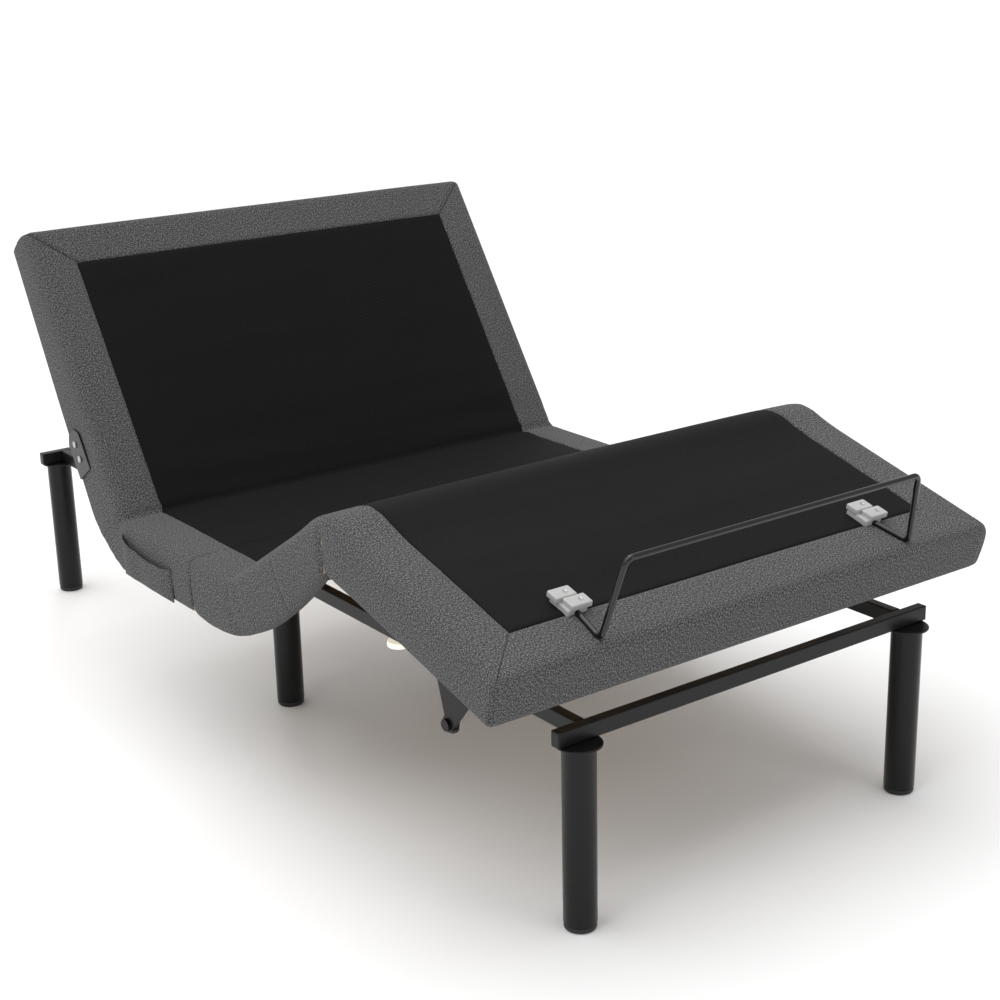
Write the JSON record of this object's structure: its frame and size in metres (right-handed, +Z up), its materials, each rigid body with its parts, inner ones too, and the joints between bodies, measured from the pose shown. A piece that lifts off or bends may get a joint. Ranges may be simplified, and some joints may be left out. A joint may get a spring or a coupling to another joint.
{
  "type": "adjustable bed base",
  "caption": "Adjustable bed base: hinged upholstered back, seat, thigh and calf deck on a black tube frame with round legs, linear actuators and a mattress retainer bar at the foot.",
  "frame": {"origin": "centre of the footprint, on the floor", "axes": "+Z up, +Y towards the head end, +X towards the side on the right of someone standing at the foot and facing the head"},
  "size_m": [1.0113, 1.8893, 0.8535],
  "materials": {
    "frame_black": "semi-gloss powder coat",
    "leg_black": "semi-gloss powder coat",
    "cover_grey": "heather linen-look upholstery cloth, with a black non-slip cloth panel on top",
    "deck_board": "plain plywood",
    "steel": "zinc plated",
    "plastic_black": "fine texture",
    "port_metal": "plain",
    "clamp_grey": "satin",
    "bar_black": "gloss powder coat",
    "lens": "frosted"
  },
  "bodies": {
    "frame": {"back_actuator_tube": "frame_black", "back_hinge_pin": "steel", "control_box": "plastic_black", "flange_foot_left": "frame_black", "flange_foot_right": "frame_black", "flange_head_left": "frame_black", "flange_head_right": "frame_black", "flange_middle_left": "frame_black", "flange_middle_right": "frame_black", "foot_crossbar": "frame_black", "head_crossbar": "frame_black", "leg_foot_left": "leg_black", "leg_foot_right": "leg_black", "leg_head_left": "leg_black", "leg_head_right": "leg_black", "leg_middle_left": "leg_black", "leg_middle_right": "leg_black", "light_left": "lens", "light_right": "lens", "link_hanger_left": "frame_black", "link_hanger_right": "frame_black", "mid_crossbar": "frame_black", "power_supply": "plastic_black", "remote_pocket": "cover_grey", "seat_board": "deck_board", "seat_pad": "cover_grey", "side_rail_left": "frame_black", "side_rail_right": "frame_black", "thigh_actuator_tube": "frame_black", "thigh_hinge_pin": "steel"},
    "back": {"back_board": "deck_board", "back_pad": "cover_grey", "back_lever": "frame_black", "back_brace": "frame_black", "back_massage_motor": "plastic_black", "charging_plate": "plastic_black", "charging_port_upper": "port_metal", "charging_port_lower": "port_metal"},
    "thigh": {"thigh_board": "deck_board", "thigh_pad": "cover_grey", "thigh_lever": "frame_black", "knee_hinge_pin": "steel"},
    "calf": {"calf_board": "deck_board", "calf_pad": "cover_grey", "calf_massage_motor": "plastic_black", "retainer_bar": "bar_black", "clamp_base_left": "clamp_grey", "clamp_base_right": "clamp_grey", "clamp_cap_left": "clamp_grey", "clamp_cap_right": "clamp_grey", "link_bracket_left": "frame_black", "link_bracket_right": "frame_black"},
    "back_actuator": {"back_actuator_housing": "plastic_black", "back_actuator_motor": "plastic_black"},
    "back_rod": {"back_rod": "steel"},
    "thigh_actuator": {"thigh_actuator_housing": "plastic_black", "thigh_actuator_motor": "plastic_black"},
    "thigh_rod": {"thigh_rod": "steel"},
    "link_left": {"leg_link_left": "frame_black"},
    "link_right": {"leg_link_right": "frame_black"}
  },
  "joints": [
    {"name": "back_lift", "type": "hinge", "parent": "frame", "child": "back", "pos_m": [0, 0.24956, 0.3414], "axis": [1, 0, 0], "range_deg": [-56, 6]},
    {"name": "thigh_lift", "type": "hinge", "parent": "frame", "child": "thigh", "pos_m": [0, -0.17204, 0.3414], "axis": [-1, 0, 0], "range_deg": [-31.2, 8.8]},
    {"name": "knee_fold", "type": "hinge", "parent": "thigh", "child": "calf", "pos_m": [0, -0.48613, 0.53162], "axis": [1, 0, 0], "range_deg": [-46.5, 13.2]},
    {"name": "back_actuator_swing", "type": "hinge", "parent": "frame", "child": "back_actuator", "pos_m": [0.08, -0.35044, 0.2714], "axis": [1, 0, 0], "range_deg": [-2, 0.3]},
    {"name": "back_rod_slide", "type": "slide", "parent": "back_actuator", "child": "back_rod", "axis": [0, 0.9999, 0.0152], "range_m": [-0.069, 0.0078]},
    {"name": "thigh_actuator_swing", "type": "hinge", "parent": "frame", "child": "thigh_actuator", "pos_m": [-0.08, 0.43096, 0.2714], "axis": [-1, 0, 0], "range_deg": [-1.3, 0.5]},
    {"name": "thigh_rod_slide", "type": "slide", "parent": "thigh_actuator", "child": "thigh_rod", "axis": [0, -1, 0.0043], "range_m": [-0.0395, 0.0118]},
    {"name": "link_swing_left", "type": "hinge", "parent": "frame", "child": "link_left", "pos_m": [-0.3481, -0.57695, 0.21], "axis": [-1, 0, 0], "range_deg": [-36, 10.3]},
    {"name": "link_swing_right", "type": "hinge", "parent": "frame", "child": "link_right", "pos_m": [0.3481, -0.57695, 0.21], "axis": [-1, 0, 0], "range_deg": [-36, 10.3]}
  ],
  "couplings": [
    {"joint": "knee_fold", "follows": "thigh_lift", "ratio": 1.4872},
    {"joint": "back_actuator_swing", "follows": "back_lift", "ratio": 0.0292},
    {"joint": "back_rod_slide", "follows": "back_lift", "m_per_rad": 0.07},
    {"joint": "thigh_actuator_swing", "follows": "thigh_lift", "ratio": 0.0318},
    {"joint": "thigh_rod_slide", "follows": "thigh_lift", "m_per_rad": 0.0712},
    {"joint": "link_swing_left", "follows": "thigh_lift", "ratio": 1.15},
    {"joint": "link_swing_right", "follows": "thigh_lift", "ratio": 1.15}
  ]
}
